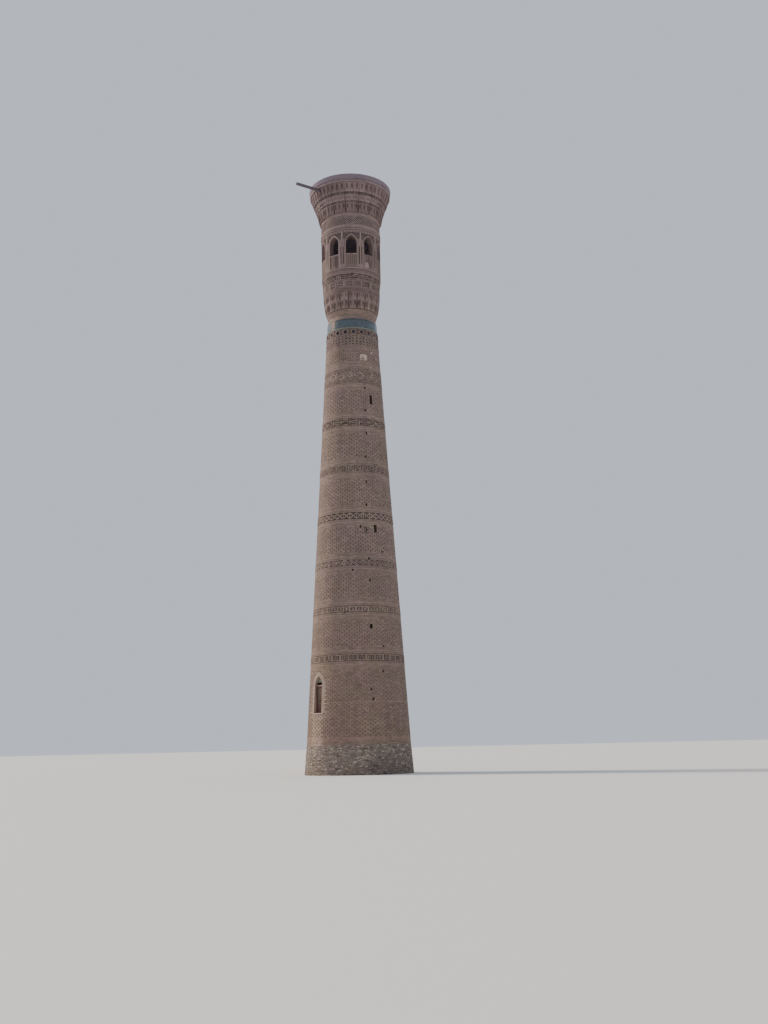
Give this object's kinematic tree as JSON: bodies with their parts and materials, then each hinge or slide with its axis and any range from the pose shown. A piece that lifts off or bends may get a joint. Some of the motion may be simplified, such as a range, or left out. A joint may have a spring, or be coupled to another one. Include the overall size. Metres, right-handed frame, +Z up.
{
  "type": "brick minaret",
  "caption": "Tall tapering round brick minaret with a raised doorway, carved and glazed bands, an arched lantern and a flared stalactite crown.",
  "frame": {"origin": "centre of the foot's flat underside, on the ground", "axes": "+Z up the tower's axis, -Y out through the doorway, +X to the right of someone facing the doorway from outside"},
  "size_m": [6.68, 7.8749, 38.7],
  "materials": {
    "shaft_brick": "weathered fired brick in pale mortar",
    "carved_brick": "carved fired brick, darker in its recesses",
    "moulding_brick": "smooth pale brick mouldings",
    "surround_brick": "newer pale brick",
    "lantern_brick": "cut and rubbed brick",
    "foot_masonry": "rough pale masonry",
    "glazed_tile": "turquoise glaze with losses",
    "grey_plaster": "flat grey plaster",
    "roof_plaster": "mud plaster",
    "frame_wood": "weathered timber",
    "leaf_wood": "old oiled timber",
    "beam_wood": "bare dark timber"
  },
  "bodies": {
    "tower": {"foot_course": "foot_masonry", "base_drum": "shaft_brick", "entrance_wall_right": "shaft_brick", "entrance_wall_back": "shaft_brick", "entrance_wall_left": "shaft_brick", "entrance_arch_ring": "shaft_brick", "door_surround": "surround_brick", "frame_post_left": "frame_wood", "frame_post_right": "frame_wood", "frame_transom": "frame_wood", "door_tympanum": "grey_plaster", "carved_band_1": "carved_brick", "carved_band_2": "carved_brick", "carved_band_3": "carved_brick", "carved_band_4": "carved_brick", "carved_band_5": "carved_brick", "carved_band_6": "carved_brick", "carved_band_7": "carved_brick", "shaft_drum_1": "shaft_brick", "shaft_drum_2": "shaft_brick", "shaft_drum_3": "shaft_brick", "shaft_drum_4": "shaft_brick", "shaft_drum_5": "shaft_brick", "shaft_drum_6": "shaft_brick", "shaft_drum_7": "shaft_brick", "lattice_band": "carved_brick", "roundel_band": "moulding_brick", "glazed_band": "glazed_tile", "neck_ring": "shaft_brick", "corbel_row_lower": "carved_brick", "corbel_row_upper": "carved_brick", "gallery_drum": "carved_brick", "lantern_floor": "shaft_brick", "gallery_moulding": "moulding_brick", "lantern_parapet": "lantern_brick", "lantern_bay_1": "lantern_brick", "lantern_bay_2": "lantern_brick", "lantern_bay_3": "lantern_brick", "lantern_bay_4": "lantern_brick", "lantern_bay_5": "lantern_brick", "lantern_bay_6": "lantern_brick", "lantern_bay_7": "lantern_brick", "lantern_bay_8": "lantern_brick", "lantern_bay_9": "lantern_brick", "lantern_bay_10": "lantern_brick", "lantern_cornice": "moulding_brick", "upper_drum": "lantern_brick", "lantern_dome": "lantern_brick", "crown_row_lower": "carved_brick", "crown_row_middle": "carved_brick", "crown_row_upper": "carved_brick", "crown_rim": "shaft_brick", "roof_cap": "roof_plaster", "roof_beam": "beam_wood"},
    "leaf_left": {"door_leaf_left": "leaf_wood"},
    "leaf_right": {"door_leaf_right": "leaf_wood"}
  },
  "joints": [
    {"name": "door_leaf_left_hinge", "type": "hinge", "parent": "tower", "child": "leaf_left", "pos_m": [-0.364, -2.8097, 3.67], "axis": [0, 0, 1], "range_deg": [0, 90]},
    {"name": "door_leaf_right_hinge", "type": "hinge", "parent": "tower", "child": "leaf_right", "pos_m": [0.364, -2.8097, 3.67], "axis": [0, 0, -1], "range_deg": [0, 90]}
  ]
}
